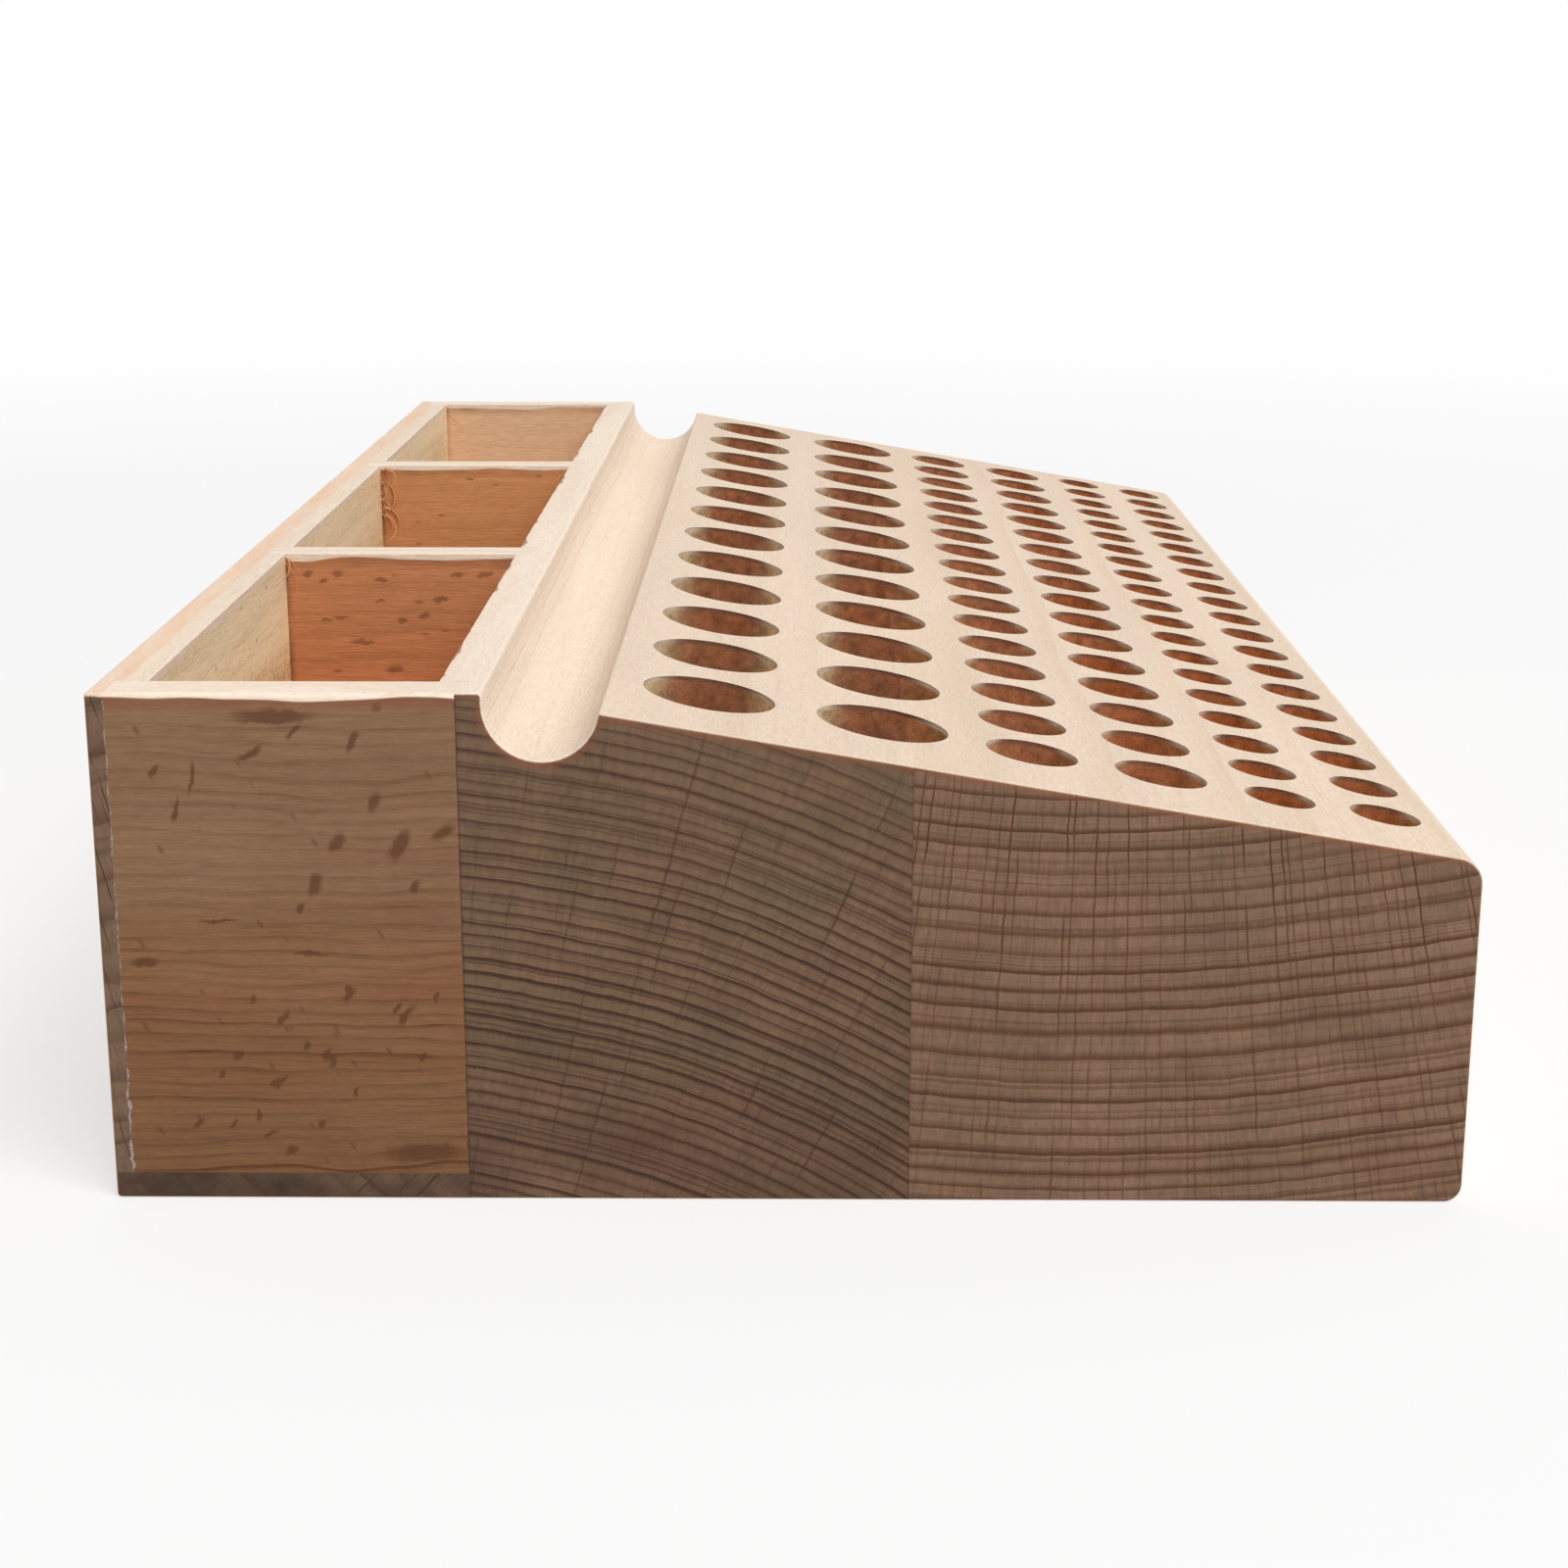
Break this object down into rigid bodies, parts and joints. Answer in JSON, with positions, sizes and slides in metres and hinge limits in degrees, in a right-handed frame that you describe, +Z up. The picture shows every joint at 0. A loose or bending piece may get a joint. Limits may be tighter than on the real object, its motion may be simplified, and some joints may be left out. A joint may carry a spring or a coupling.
{
  "type": "tool holder stand",
  "caption": "Beech bench rack: a solid block with sloping rows of round tool holes in three sizes, a half-round groove, and an open box of compartments behind.",
  "frame": {"origin": "under the middle of the rack, on the surface it stands on", "axes": "+X along the rack, +Y towards the compartments at the back, +Z up"},
  "size_m": [0.25, 0.145, 0.056],
  "materials": {
    "block_beech": "sanded, unfinished",
    "board_beech": "sanded, unfinished",
    "divider_beech": "sawn, unfinished"
  },
  "bodies": {
    "root": {"rear_block": "block_beech", "front_block": "block_beech", "back_panel": "board_beech", "bottom_panel": "board_beech", "left_end_panel": "board_beech", "right_end_panel": "board_beech", "divider_1": "divider_beech", "divider_2": "divider_beech"}
  },
  "joints": []
}
